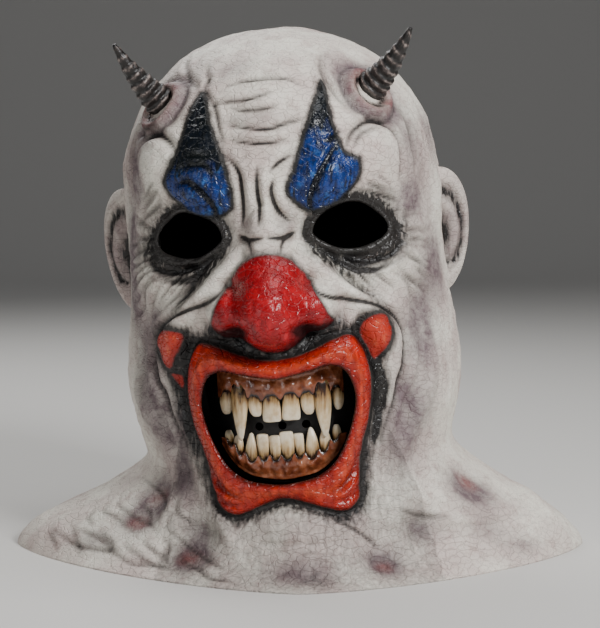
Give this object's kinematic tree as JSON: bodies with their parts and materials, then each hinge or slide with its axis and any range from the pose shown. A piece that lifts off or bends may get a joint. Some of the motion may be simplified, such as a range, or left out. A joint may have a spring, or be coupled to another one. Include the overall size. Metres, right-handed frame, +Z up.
{
  "type": "latex halloween mask",
  "caption": "Over-the-head rubber horror clown mask with horns, fangs, a bulbous nose and a flared chest and shoulder bib.",
  "frame": {"origin": "centre of the hem, on the surface that the hem stands on", "axes": "+Z up, the face looks along -Y, +X is towards the wearer's left shoulder"},
  "size_m": [0.366, 0.2982, 0.3297],
  "materials": {
    "latex": "satin, painted",
    "horn": "satin",
    "gum_rubber": "gloss",
    "tooth_resin": "gloss",
    "backing_cloth": "matt",
    "foam": "matt",
    "zinc_steel": "satin"
  },
  "bodies": {
    "root": {"latex_skin": "latex", "left_horn": "horn", "right_horn": "horn", "left_horn_washer": "zinc_steel", "right_horn_washer": "zinc_steel", "left_horn_screw": "zinc_steel", "right_horn_screw": "zinc_steel", "upper_gum": "gum_rubber", "lower_gum": "gum_rubber", "upper_right_molar": "tooth_resin", "upper_right_fang": "tooth_resin", "upper_right_lateral": "tooth_resin", "upper_right_incisor": "tooth_resin", "upper_left_incisor": "tooth_resin", "upper_left_lateral": "tooth_resin", "upper_left_fang": "tooth_resin", "upper_left_molar": "tooth_resin", "lower_right_back_molar": "tooth_resin", "lower_right_molar": "tooth_resin", "lower_right_fang": "tooth_resin", "lower_right_lateral": "tooth_resin", "lower_right_incisor": "tooth_resin", "lower_left_incisor": "tooth_resin", "lower_left_lateral": "tooth_resin", "lower_left_fang": "tooth_resin", "lower_left_molar": "tooth_resin", "lower_left_back_molar": "tooth_resin", "mouth_backing": "backing_cloth", "crown_pad": "foam", "forehead_pad": "foam", "nape_pad": "foam", "left_temple_pad": "foam", "right_temple_pad": "foam"}
  },
  "joints": []
}
